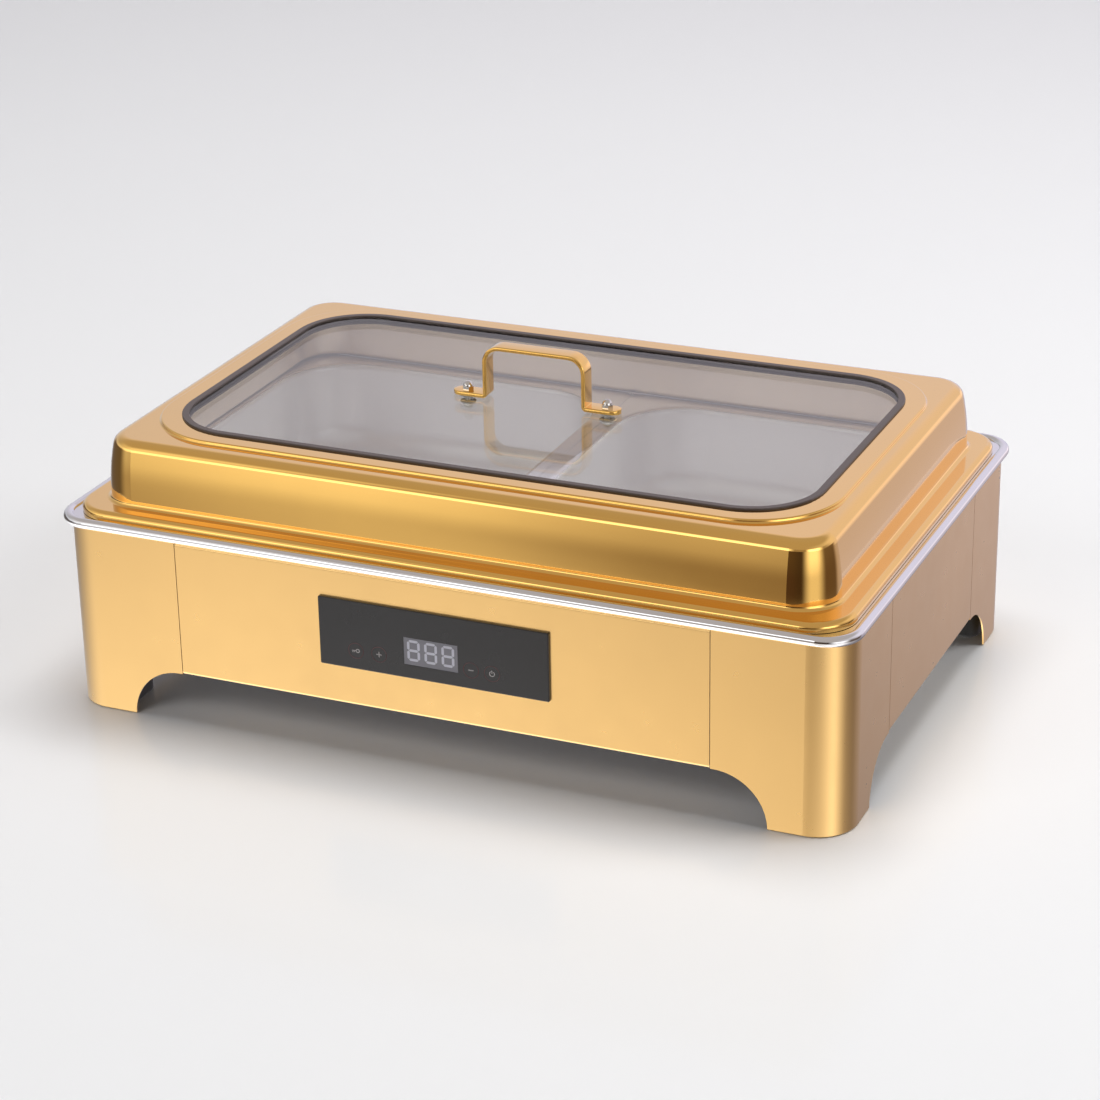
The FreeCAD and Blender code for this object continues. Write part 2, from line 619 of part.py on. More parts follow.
def make_handle(top):
    body = new_body("lid_handle")
    x, stock = s.handle_shift, s.handle_stock
    reach, span, low = s.handle_reach / 2, s.handle_span / 2, top + s.washer
    high, bend, foot = s.handle_top, s.handle_bend, s.handle_foot_bend
    half = s.handle_strip / 2
    inner = span - stock
    points = [(x - reach, low), (x - inner - foot, low, foot), (x - inner, low + foot),
              (x - inner, high - bend, -(bend - stock)), (x - inner + bend - stock, high - stock),
              (x + inner - bend + stock, high - stock, -(bend - stock)), (x + inner, high - bend),
              (x + inner, low + foot, foot), (x + inner + foot, low), (x + reach, low), (x + reach, low + stock),
              (x + inner + foot, low + stock, -(foot - stock)), (x + span, low + foot),
              (x + span, high - bend, bend), (x + span - bend, high), (x - span + bend, high, bend),
              (x - span, high - bend), (x - span, low + foot, -(foot - stock)), (x - inner - foot, low + stock),
              (x - reach, low + stock)]
    prism(body, "XZ", -half, half, [points])
    ends = [num(x - reach), num(x + reach)]
    fillet(body, half - 0.2, lambda edge: any(abs(edge.BoundBox.Center.x - e) < 0.01 and edge.BoundBox.ZLength > 2.5
                                              for e in ends))
    prism(body, "XY", low - 1, low + stock + 1, [], [(at, 0, s.screw_radius + 0.1) for at in screw_places()],
          cut=True)

    body = new_body("handle_washers")
    holes = [(at, 0, s.screw_radius + 0.1) for at in screw_places()]
    discs = [(at, 0, 5.5) for at in screw_places()]
    prism(body, "XY", top, low, [], discs + holes)
    under = top - s.glass
    prism(body, "XY", under - s.washer, under, [], discs + holes)

    screws, nuts = [], []
    head_top, foot_top = num(under - s.washer), num(low + stock)
    for at in screw_places():
        head = Part.makeSphere(6.5, V(num(at), 0, head_top + 3.5), V(0, 0, 1), -90, 90, 360)
        head = head.common(rod(7, head_top - 3, head_top, at))
        screws.append(head.fuse(rod(s.screw_radius, head_top, foot_top + 3.5, at)).removeSplitter())
        dome = Part.makeSphere(3.4, V(num(at), 0, foot_top + 2.6)).common(rod(4, foot_top + 2.6, foot_top + 7, at))
        nut = hexagon(7, foot_top, foot_top + 2.6, at, 0).fuse(dome).removeSplitter()
        nuts.append(nut.cut(rod(s.screw_radius + 0.05, foot_top - 1, foot_top + 3.55, at)))
    group("handle_screws", screws)
    group("handle_cap_nuts", nuts)


# ---- controls -----------------------------------------------------------------------------------------------------

BUTTONS = (-55.3, -38.8, 26.1, 40.7)


def fascia_edges(margin):
    left = s.fascia_shift - s.fascia_width / 2 + margin
    right = s.fascia_shift + s.fascia_width / 2 - margin
    return left, s.fascia_low + margin, right, s.fascia_low + s.fascia_height - margin


def make_controls():
    face = -half_depth
    front = face - s.fascia_proud
    left, low, right, high = fascia_edges(0)
    body = new_body("control_fascia")
    middle_x, middle_z = (left + right) / 2, (low + high) / 2
    prism(body, "XZ", front, face, [rounded(s.fascia_width / 2, s.fascia_height / 2, 1.0, middle_x, middle_z)])
    front_edges = num(front)
    fillet(body, 0.7, lambda edge: abs(edge.BoundBox.YMax - front_edges) < 0.01)
    shown = rectangle(s.display_left, s.display_low, s.display_left + s.display_width,
                      s.display_low + s.display_height)
    prism(body, "XZ", front - 1, face + 1, [shown], cut=True)

    body = new_body("display_lens")
    prism(body, "XZ", front + 0.2, face - 0.4, [shown])
    body = new_body("display_module")
    margin = 1.0
    digits = rectangle(s.display_left + margin, s.display_low + margin, s.display_left + s.display_width - margin,
                       s.display_low + s.display_height - margin)
    board_front = face + 5
    prism(body, "XZ", face - 0.4, board_front, [digits])

    body = new_body("touch_board")
    board = fascia_edges(9)
    board_back = board_front + s.board_thick
    bolts = [(x, z, 1.6) for x in (board[0] + 4, board[2] - 4) for z in (board[1] + 4, board[3] - 4)]
    prism(body, "XZ", board_front, board_back, [rectangle(*board)], bolts)

    body = new_body("touch_pads")
    prism(body, "XZ", face, board_front, [], [(x, s.button_height, s.touch_pad_radius) for x in BUTTONS])

    body = new_body("control_box")
    case = fascia_edges(2.5)
    inside = fascia_edges(2.5 + num(s.box_wall))
    inner_face = face + s.metal
    back = inner_face + s.box_depth
    prism(body, "XZ", inner_face, back, [rectangle(*case)])
    prism(body, "XZ", inner_face - 1, back - s.box_wall, [rectangle(*inside)], cut=True)
    prism(body, "XZ", board_back, back - s.box_wall, [], [(x, z, 3.5) for x, z, _ in bolts])
    prism(body, "XZ", board_back - 1, back - s.box_wall - 1, [], [(x, z, 1.25) for x, z, _ in bolts], cut=True)
    screws = []
    for x, z, _ in bolts:
        head = rod_y(2.6, board_front - 1.8, board_front, x, z)
        screws.append(head.fuse(rod_y(1.2, board_front, board_back + 7, x, z)))
    group("board_screws", screws)


# ---- heater and electrics -----------------------------------------------------------------------------------------

def make_heater():
    tray_low = s.heater_tray_height
    half_x, half_y = s.heater_tray_width / 2, s.heater_tray_depth / 2
    body = new_body("heater_tray")
    prism(body, "XY", tray_low, tray_low + 9, [rounded(half_x, half_y, 20)])
    prism(body, "XY", tray_low + 1, tray_low + 10, [rounded(half_x - 1, half_y - 1, 19)], cut=True)
    body = new_body("insulation_mat")
    posts = grid((-s.plate_width / 2 + 12, s.plate_width / 2 - 12), (-s.plate_depth / 2 + 12, s.plate_depth / 2 - 12))
    mat = rounded(half_x - 3, half_y - 3, 17)
    prism(body, "XY", tray_low + 1, tray_low + 1 + s.mat_thick, [mat], [(x, y, 5.0) for x, y in posts])
    body = new_body("heater_plate")
    plate_low = s.plate_top - s.plate_thick
    prism(body, "XY", plate_low, s.plate_top, [rounded(s.plate_width / 2, s.plate_depth / 2, 15)],
          [(x, y, 2.1) for x, y in posts])
    group("plate_posts", [rod(4, tray_low + 1, plate_low, x, y).cut(rod(1.65, plate_low - 8, plate_low + 1, x, y))
                          for x, y in posts])
    screws = []
    for x, y in posts:
        flat = Part.makeCone(2.0, 2.09, 0.4, V(num(x), num(y), num(s.plate_top) - 0.4))
        screws.append(flat.fuse(rod(1.6, plate_low - 6, s.plate_top - 0.4, x, y)))
    group("plate_screws", screws)
    feet = grid((-120, 120), (-80, 80))
    group("heater_spacers", [rod(6, s.tray_height + s.metal, tray_low, x, y) for x, y in feet])

    radius = s.element_radius
    z = num(plate_low - radius)
    run, end, inner = 120.0, 70.0, 30.0
    element = wire_with_bends([(148, -inner, z), (-run, -inner, z), (-run, -end, z), (run, -end, z), (run, end, z),
                               (-run, end, z), (-run, inner, z), (148, inner, z)], num(radius), 18.0)
    group("heating_element", [element])
    clamps = []
    for x, y in grid((-70, 70), (-end, end)):
        strap = box(x - 5, y - 12, z - num(radius) - 1.2, x + 5, y + 12, num(plate_low))
        strap = strap.cut(box(x - 6, y - num(radius), z - num(radius), x + 6, y + num(radius), num(plate_low) + 1))
        for side in (-1, 1):
            strap = strap.cut(box(x - 6, y + side * 8.75 - 3.75, z - num(radius) - 2, x + 6, y + side * 8.75 + 3.75,
                                  num(plate_low) - 1))
        clamps.append(strap)
    group("element_clamps", clamps)

    cutout_body = rod(8.5, plate_low - 6, plate_low, 40, 0)
    tabs = [box(40 + side * 5 - 0.4, -3, num(plate_low) - 8.5, 40 + side * 5 + 0.4, 3, num(plate_low) - 6)
            for side in (-1, 1)]
    group("thermal_cutout", [cutout_body.fuse(tabs[0]).fuse(tabs[1]).removeSplitter()])
    probe = Part.makeCylinder(2.5, 26, V(-30, 0, num(plate_low) - 2.5), V(1, 0, 0))
    group("temperature_probe", [probe.makeFillet(1.0, [probe.Edges[0], probe.Edges[2]])])


def make_electrics():
    floor = s.tray_height + s.metal
    left, right, front, back = 186.0, 250.0, -58.0, 44.0
    board_low = floor + 6
    board_top = board_low + s.board_thick
    corners = grid((left + 5, right - 5), (front + 5, back - 5))
    body = new_body("power_board")
    prism(body, "XY", board_low, board_top, [rectangle(left, front, right, back)], [(x, y, 1.7) for x, y in corners])
    group("board_standoffs", [hexagon(5.5, floor, board_low, x, y) for x, y in corners])
    group("board_nuts", [hexagon(5.5, board_top, board_top + 2.4, x, y) for x, y in corners])
    group("transformer", [box(192, -46, num(board_top), 216, -22, num(board_top) + 9)])
    group("relay", [box(222, -46, num(board_top), 240, -26, num(board_top) + 9.5)])
    heat_sink = box(192, -12, num(board_top), 236, 4, num(board_top) + 9)
    for k in range(5):
        heat_sink = heat_sink.cut(box(196 + k * 8, -13, num(board_top) + 2, 200 + k * 8, 5, num(board_top) + 10))
    group("heat_sink", [heat_sink])
    group("capacitors", [rod(4, board_top, board_top + 9, 198 + k * 12, 14) for k in range(3)])
    group("board_terminals", [box(226, 20, num(board_top), 242, 32, num(board_top) + 8)])

    block = box(150, 130, num(floor), 196, 146, num(floor) + 12)
    for k in range(3):
        block = block.cut(rod(3, num(floor) + 8, num(floor) + 13, 158 + k * 15, 138))
        block = block.cut(rod_y(2, 141, 147, 158 + k * 15, num(floor) + 5))
    group("terminal_block", [block])
    stud = rod(2.5, floor, num(floor) + 14, 215, 138)
    group("earth_stud", [stud])
    nut = hexagon(8, num(floor) + 3, num(floor) + 7, 215, 138).cut(rod(2.55, num(floor), num(floor) + 20, 215, 138))
    washer = rod(5, floor, num(floor) + 3, 215, 138).cut(rod(2.55, num(floor) - 1, num(floor) + 4, 215, 138))
    group("earth_nut", [nut, washer])


def make_inlet():
    """Appliance inlet in the back panel, with its three pins and two screws."""
    x, z = num(s.inlet_x), num(s.inlet_z)
    face = num(half_depth)
    flange = box(x - 25, face, z - 12, x + 25, face + 1.8, z + 12)
    barrel = box(x - 13.4, face - 17, z - 9.9, x + 13.4, face, z + 9.9)
    cavity = box(x - 11.9, face - 15, z - 8.2, x + 11.9, face + 3, z + 8.2)
    shell = flange.fuse(barrel).cut(cavity)
    for side in (-1, 1):
        shell = shell.cut(rod_y(1.7, face - 1, face + 3, x + side * 20, z))
    pins = []
    for at, level in ((-7, -1.5), (0, 2.5), (7, -1.5)):
        blade = box(x + at - 1, face - 17, z + level - 2, x + at + 1, face - 4, z + level + 2)
        shell = shell.cut(blade)
        tab = box(x + at - 0.4, face - 24, z + level - 3, x + at + 0.4, face - 17, z + level + 3)
        pins.append(blade.fuse(tab))
    group("power_inlet", [shell.removeSplitter()])
    group("inlet_pins", pins)
    screws = []
    for side in (-1, 1):
        head = rod_y(2.8, face + 1.8, face + 3.4, x + side * 20, z)
        screws.append(head.fuse(rod_y(1.5, face - 6, face + 1.8, x + side * 20, z)))
    group("inlet_screws", screws)


def make_wires():
    """The fixed wiring between the inlet, the terminal block, the boards and the heater."""
    z_tab = num(s.inlet_z)
    inlet = []
    for at, level, end in ((-7, -4.5, 158), (0, -0.5, 173), (7, -4.5, 188)):
        x = num(s.inlet_x) + at
        start = z_tab + level
        inlet.append(wire_along([(x, 159.5, start), (x, 159.5, start - 14), ((x + end) / 2, 160, 57),
                                 (end, 158, 43), (end, 146.5, 43)], 1.4))
    group("inlet_wires", inlet)
    heater = []
    z_end = num(s.plate_top - s.plate_thick - s.element_radius)
    for side, target in ((-1, 232), (1, 238)):
        heater.append(wire_along([(148.2, 30 * side, z_end), (172, 30 * side, z_end), (180, 60 + 4 * side, 50),
                                  (210, 62 + 4 * side, 48), (target, 48, 49), (target, 32.2, 51)], 1.4))
    group("heater_wires", heater)
    panel = [(216, -58.2, 44.8), (214, -80, 43), (190, -122, 42), (130, -146, 42), (76, -162, 42),
             (38, -168, 43), (30, -169, 54), (30, -169, 65.6)]
    group("panel_cable", [wire_along(panel, 2.2)])


# ---- build and export ---------------------------------------------------------------------------------------------

make_corner_legs()
make_panels()
make_seam_straps()
make_bottom_tray()
make_feet()
make_water_pan()
make_food_pans()
window_height = make_lid_shell()
make_window(window_height)
make_handle(window_height)
make_controls()
make_heater()
make_electrics()
make_inlet()
make_wires()
doc.recompute()

for thing in doc.Objects:
    if {"Invalid", "Error"} & set(thing.State):
        raise RuntimeError(f"{thing.Name} failed: {thing.State}")
for part in parts:
    if part.Shape.isNull() or not part.Shape.isValid() or not part.Shape.Solids:
        raise RuntimeError(f"{part.Label} has no valid shape")

os.makedirs("parts", exist_ok=True)
for part in parts:
    part.Shape.exportStep(f"parts/{part.Label}.step")
print(f"{len(parts)} nodes written")
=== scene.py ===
"""Looks of the electric chafing dish: finishes, handle, printed marks, floor, light and camera.

Metres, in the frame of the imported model: +X along the front to the right, +Y to the back, +Z up.
"""
import json
import math

import bmesh
import bpy
from mathutils import Matrix, Vector


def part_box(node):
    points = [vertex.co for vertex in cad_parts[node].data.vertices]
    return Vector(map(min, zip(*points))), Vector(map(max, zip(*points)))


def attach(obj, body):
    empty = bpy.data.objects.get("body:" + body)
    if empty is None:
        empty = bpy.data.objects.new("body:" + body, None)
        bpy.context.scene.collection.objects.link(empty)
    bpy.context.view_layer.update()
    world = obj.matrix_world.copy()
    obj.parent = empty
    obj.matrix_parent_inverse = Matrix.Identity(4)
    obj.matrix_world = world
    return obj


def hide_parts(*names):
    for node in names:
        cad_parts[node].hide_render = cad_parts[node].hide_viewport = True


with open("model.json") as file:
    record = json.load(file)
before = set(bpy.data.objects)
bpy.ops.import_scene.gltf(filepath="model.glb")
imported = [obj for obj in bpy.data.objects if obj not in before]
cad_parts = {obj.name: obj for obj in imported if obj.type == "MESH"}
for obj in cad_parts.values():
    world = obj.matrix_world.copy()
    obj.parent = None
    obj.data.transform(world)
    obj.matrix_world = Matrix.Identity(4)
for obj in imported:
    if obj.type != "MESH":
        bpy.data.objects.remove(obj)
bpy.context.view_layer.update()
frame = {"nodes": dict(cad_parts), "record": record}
nodes = frame["nodes"]
MM = 0.001


# ---- materials -----------------------------------------------------------------------------------

CLOUD_SCALE, PATCH_SCALE, WAVE_SCALE = 9.0, 55.0, 14.0  # noise cells per metre in metal
METAL_VARY, PLASTIC_VARY = 0.03, 0.08  # how far a colour swings lighter and darker
PATTERN_LOW, PATTERN_HIGH = 0.3, 0.7  # where most values of a noise pattern lie
MIX_SOCKETS = {"FLOAT": (2, 3, 0), "RGBA": (6, 7, 2)}  # a mix node's two inputs and its result


class Nodes:
    """A short way to add and join shader nodes in one material."""

    def __init__(self, name):
        self.material = bpy.data.materials.new(name)
        self.material.use_nodes = True
        self.tree = self.material.node_tree
        self.shader = self.tree.nodes["Principled BSDF"]
        self.place = self.add("ShaderNodeTexCoord").outputs["Object"]

    def add(self, kind, **settings):
        """A new node with its settings."""
        node = self.tree.nodes.new(kind)
        for key, value in settings.items():
            setattr(node, key, value)
        return node

    def join(self, source, target):
        self.tree.links.new(source, target)

    def set(self, **values):
        """Fixed values for the shader's inputs, named with _ for each space."""
        for key, value in values.items():
            self.shader.inputs[key.replace("_", " ")].default_value = value

    def stretched(self, stretch):
        """The piece's own coordinates, scaled differently along each axis."""
        mapping = self.add("ShaderNodeMapping")
        mapping.inputs["Scale"].default_value = stretch
        self.join(self.place, mapping.inputs["Vector"])
        return mapping.outputs["Vector"]

    def noise(self, scale, stretch=(1, 1, 1), detail=2.0, rough=0.5):
        """A noise pattern from 0 to 1."""
        node = self.add("ShaderNodeTexNoise")
        node.inputs["Scale"].default_value = scale
        node.inputs["Detail"].default_value = detail
        node.inputs["Roughness"].default_value = rough
        self.join(self.stretched(stretch), node.inputs["Vector"])
        return node.outputs["Fac"]

    def spread(self, source, low, high, start=PATTERN_LOW, end=PATTERN_HIGH):
        """Map a pattern from start..end to low..high."""
        node = self.add("ShaderNodeMapRange")
        limits = {"From Min": start, "From Max": end, "To Min": low, "To Max": high}
        for key, value in limits.items():
            node.inputs[key].default_value = value
        self.join(source, node.inputs["Value"])
        return node.outputs["Result"]

    def tint(self, source, first, second):
        """A colour between two, by a pattern."""
        node = self.add("ShaderNodeValToRGB")
        node.color_ramp.elements[0].position = PATTERN_LOW
        node.color_ramp.elements[1].position = PATTERN_HIGH
        node.color_ramp.elements[0].color = (*first, 1)
        node.color_ramp.elements[1].color = (*second, 1)
        self.join(source, node.inputs["Fac"])
        return node.outputs["Color"]

    def clouded(self, color):
        """A metal's colour, lighter and darker in slow clouds."""
        cloud = self.noise(CLOUD_SCALE, detail=3.0)
        return self.tint(cloud, scaled(color, 1 - METAL_VARY), scaled(color, 1 + METAL_VARY))

    def patches(self, low, high):
        """A value that swings between two in small patches."""
        return self.spread(self.noise(PATCH_SCALE, detail=4.0, rough=0.6), low, high)

    def bumps(self, *layers):
        """Stack bump layers, each (pattern, depth in metres), onto the shader's normal."""
        normal = None
        for source, depth in layers:
            node = self.add("ShaderNodeBump")
            node.inputs["Strength"].default_value = 1.0
            node.inputs["Distance"].default_value = depth
            self.join(source, node.inputs["Height"])
            if normal:
                self.join(normal, node.inputs["Normal"])
            normal = node.outputs["Normal"]
        self.join(normal, self.shader.inputs["Normal"])


def scaled(color, factor):
    """A colour made lighter or darker, at most white."""
    return tuple(min(c * factor, 1.0) for c in color)


def metal(name, color, rough, rough_swing, grain=None, grain_depth=0.0, wave_depth=0.0, **settings):
    """Polished or brushed sheet metal.

    grain is the stretch of its brush marks. grain_depth and wave_depth are the heights of the marks and
    of its faint waviness.
    """
    m = Nodes(name)
    m.set(Metallic=1.0, **settings)
    m.join(m.clouded(color), m.shader.inputs["Base Color"])
    m.join(m.patches(rough - rough_swing, rough + rough_swing), m.shader.inputs["Roughness"])
    layers = []
    if grain:
        layers.append((m.noise(1.0, stretch=grain, detail=3.0, rough=0.65), grain_depth))
    if wave_depth:
        layers.append((m.noise(WAVE_SCALE, detail=1.0), wave_depth))
    if layers:
        m.bumps(*layers)
    return m.material


def blend(m, share, below, above, kind="RGBA"):
    """A socket that goes from below to above as share goes from 0 to 1."""
    first, second, result = MIX_SOCKETS[kind]
    mix = m.add("ShaderNodeMix", data_type=kind)
    for socket, value in ((0, share), (first, below), (second, above)):
        if isinstance(value, bpy.types.NodeSocket):
            m.join(value, mix.inputs[socket])
        else:
            mix.inputs[socket].default_value = value
    return mix.outputs[result]


def lid_gold():
    """The lid's polished gold, duller and greyer on the faces that look towards the food."""
    inside_color, inside_rough, inside_metallic = (0.92, 0.76, 0.60, 1), 0.34, 0.55
    m = Nodes("lid_gold")
    m.set(Coat_Weight=1.0, Coat_Roughness=0.05)
    geometry = m.add("ShaderNodeNewGeometry")
    outward = m.add("ShaderNodeVectorMath", operation="DOT_PRODUCT")
    from_middle = m.add("ShaderNodeVectorMath", operation="SUBTRACT")
    from_middle.inputs[1].default_value = (0.0, 0.0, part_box("food_pan_left")[1].z)
    m.join(m.place, from_middle.inputs[0])
    m.join(geometry.outputs["Normal"], outward.inputs[0])
    m.join(from_middle.outputs["Vector"], outward.inputs[1])
    inside = m.spread(outward.outputs["Value"], 1.0, 0.0, -1 * MM, 1 * MM)
    polished, patch = m.clouded(GOLD), m.patches(0.06, 0.09)
    m.join(blend(m, inside, polished, inside_color), m.shader.inputs["Base Color"])
    m.join(blend(m, inside, patch, inside_rough, "FLOAT"), m.shader.inputs["Roughness"])
    m.join(blend(m, inside, 1.0, inside_metallic, "FLOAT"), m.shader.inputs["Metallic"])
    return m.material


def pan_steel():
    """Brushed steel that scatters much of its light, with a smoother flange that mirrors the lid."""
    darker, lighter = (0.955, 0.93, 0.925), (0.985, 0.96, 0.955)
    body_metallic, flange_rough = 0.45, 0.2
    m = Nodes("pan_steel")
    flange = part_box("food_pan_left")[1].z - 1.5 * MM
    place = m.add("ShaderNodeSeparateXYZ")
    m.join(m.place, place.inputs["Vector"])
    high = m.spread(place.outputs["Z"], 0.0, 1.0, flange, flange + 1 * MM)
    m.join(m.tint(m.noise(CLOUD_SCALE, detail=3.0), darker, lighter), m.shader.inputs["Base Color"])
    m.join(blend(m, high, m.patches(0.28, 0.32), flange_rough, "FLOAT"), m.shader.inputs["Roughness"])
    m.join(blend(m, high, body_metallic, 1.0, "FLOAT"), m.shader.inputs["Metallic"])
    return m.material


def plastic(name, color, rough, grain=900.0, depth=0.01 * MM):
    """Moulded or printed plastic, rubber or board, with a fine texture."""
    m = Nodes(name)
    cloud = m.noise(40.0, detail=3.0)
    dark, light = scaled(color, 1 - PLASTIC_VARY), scaled(color, 1 + PLASTIC_VARY)
    m.join(m.tint(cloud, dark, light), m.shader.inputs["Base Color"])
    m.join(m.spread(cloud, rough * 0.9, rough * 1.1), m.shader.inputs["Roughness"])
    m.bumps((m.noise(grain, detail=2.0), depth))
    return m.material


def clear_glass():
    """A thin clear pane: light goes straight through, and each face mirrors more at a flatter angle."""
    straight_on, edge_on_gain, sharpness = 0.09, 0.96, 5.0
    m = Nodes("window_glass")
    m.tree.nodes.remove(m.shader)
    facing = m.add("ShaderNodeLayerWeight")
    facing.inputs["Blend"].default_value = 0.5
    curve = m.add("ShaderNodeMath", operation="POWER")
    curve.inputs[1].default_value = sharpness
    m.join(facing.outputs["Facing"], curve.inputs[0])
    share = m.add("ShaderNodeMath", operation="MULTIPLY_ADD")
    share.inputs[1].default_value = edge_on_gain
    share.inputs[2].default_value = straight_on
    m.join(curve.outputs["Value"], share.inputs[0])
    through = m.add("ShaderNodeBsdfTransparent")
    through.inputs["Color"].default_value = (0.975, 0.985, 0.98, 1)
    mirror = m.add("ShaderNodeBsdfGlossy")
    smears = m.noise(25.0, detail=3.0)
    m.join(m.spread(smears, 0.0, 0.02), mirror.inputs["Roughness"])
    mix = m.add("ShaderNodeMixShader")
    m.join(share.outputs["Value"], mix.inputs["Fac"])
    m.join(through.outputs["BSDF"], mix.inputs[1])
    m.join(mirror.outputs["BSDF"], mix.inputs[2])
    m.join(mix.outputs["Shader"], m.tree.nodes["Material Output"].inputs["Surface"])
    return m.material


GOLD = (0.93, 0.55, 0.125)
FINE_ALONG_X = (14.0, 14.0, 2600.0)

FINISHES = {
    "gold_satin": metal("gold_satin", (0.93, 0.60, 0.22), 0.30, 0.03,
                        Coat_Weight=1.0, Coat_Roughness=0.3),
    "gold_polished": metal("gold_polished", GOLD, 0.075, 0.02, wave_depth=0.04 * MM,
                           Coat_Weight=1.0, Coat_Roughness=0.05),
    "rim_chrome": metal("rim_chrome", (0.80, 0.80, 0.83), 0.10, 0.02, wave_depth=0.03 * MM),
    "pan_steel": pan_steel(),
    # The steel under the body is far darker than real steel: painted shade, which deepens the shadow seen
    # under the unit.
    "plain_steel": metal("plain_steel", (0.16, 0.16, 0.165), 0.45, 0.05),
    "zinc_steel": metal("zinc_steel", (0.62, 0.63, 0.66), 0.30, 0.05),
    "polished_steel": metal("polished_steel", (0.72, 0.70, 0.68), 0.12, 0.02),
    "aluminium": metal("aluminium", (0.68, 0.68, 0.70), 0.38, 0.05, FINE_ALONG_X, 0.004 * MM),
    "pin_brass": metal("pin_brass", (0.80, 0.66, 0.36), 0.25, 0.05),
    "black_rubber": plastic("black_rubber", (0.018, 0.018, 0.019), 0.6, 700.0, 0.03 * MM),
    "gasket_rubber": plastic("gasket_rubber", (0.075, 0.056, 0.050), 0.38, 500.0, 0.006 * MM),
    "clear_silicone": plastic("clear_silicone", (0.55, 0.55, 0.54), 0.35),
    "fascia_black": plastic("fascia_black", (0.016, 0.015, 0.017), 0.16, 300.0, 0.0008 * MM),
    "display_plastic": plastic("display_plastic", (0.22, 0.215, 0.245), 0.35),
    "black_plastic": plastic("black_plastic", (0.02, 0.02, 0.021), 0.45, 1200.0, 0.02 * MM),
    "circuit_board": plastic("circuit_board", (0.02, 0.11, 0.045), 0.35),
    "white_plastic": plastic("white_plastic", (0.72, 0.71, 0.66), 0.4),
    "transformer_core": plastic("transformer_core", (0.05, 0.09, 0.28), 0.35),
    "foam_grey": plastic("foam_grey", (0.10, 0.10, 0.11), 0.9, 2200.0, 0.1 * MM),
    "mineral_mat": plastic("mineral_mat", (0.62, 0.58, 0.48), 0.95, 1600.0, 0.2 * MM),
    "wire_cover": plastic("wire_cover", (0.28, 0.03, 0.025), 0.4),
    "window_glass": clear_glass(),
}


def finish_nodes():
    """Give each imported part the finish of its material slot, and the lid shell its own."""
    slots = {part["node"]: part["material_slot"] for part in frame["record"]["subparts"]}
    for name, thing in nodes.items():
        thing.data.materials.clear()
        thing.data.materials.append(FINISHES[slots[name]])
    nodes["lid_shell"].data.materials[0] = lid_gold()


# ---- modelled pieces -----------------------------------------------------------------------------

CREASE = math.radians(40)
# A mark's height and inset at each step, and a ring's (across, height), as shares of thickness and width.
MARK_STEPS = ((0.0, 0.0), (0.7, 0.0), (1.0, 0.3))
RING_SECTION = ((-0.5, 0.0), (-0.5, 0.7), (-0.3, 1.0), (0.3, 1.0), (0.5, 0.7), (0.5, 0.0))


def add_piece(name, mesh, finish, body):
    """Put a finished mesh in the scene, riding on a body."""
    thing = bpy.data.objects.new(name, mesh)
    bpy.context.scene.collection.objects.link(thing)
    mesh.materials.append(finish)
    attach(thing, body)
    return thing


def shaded(bm, name):
    """Turn a bmesh into a mesh with smooth faces and sharp creases."""
    bmesh.ops.recalc_face_normals(bm, faces=bm.faces)
    for face in bm.faces:
        face.smooth = True
    for edge in bm.edges:
        if len(edge.link_faces) == 2 and edge.calc_face_angle() > CREASE:
            edge.smooth = False
    mesh = bpy.data.meshes.new(name)
    bm.to_mesh(mesh)
    bm.free()
    return mesh


def loft(bm, rings, capped=True):
    """Join rings of points, each with the same count, and close both ends if capped."""
    rows = [[bm.verts.new(point) for point in ring] for ring in rings]
    count = len(rows[0])
    for row, after in zip(rows, rows[1:]):
        for k in range(count):
            bm.faces.new((row[k], row[(k + 1) % count], after[(k + 1) % count], after[k]))
    if capped:
        bm.faces.new(list(reversed(rows[0])))
        bm.faces.new(rows[-1])


def arc(centre_x, centre_z, radius, start, end, steps):
    """Points on an arc in the XZ plane, from one angle to another in degrees."""
    angles = [math.radians(start + (end - start) * k / steps) for k in range(steps + 1)]
    return [(centre_x + radius * math.cos(a), centre_z + radius * math.sin(a)) for a in angles]


def strip_section(half_width, half_stock, edge):
    """A flat bar's section with rounded edges, as (across, outwards) pairs."""
    turn_steps = 5
    points = []
    for side_u, side_v, start in ((1, 1, 0), (-1, 1, 90), (-1, -1, 180), (1, -1, 270)):
        centre_u, centre_v = side_u * (half_width - edge), side_v * (half_stock - edge)
        points += arc(centre_u, centre_v, edge, start, start + 90, turn_steps)
    return points


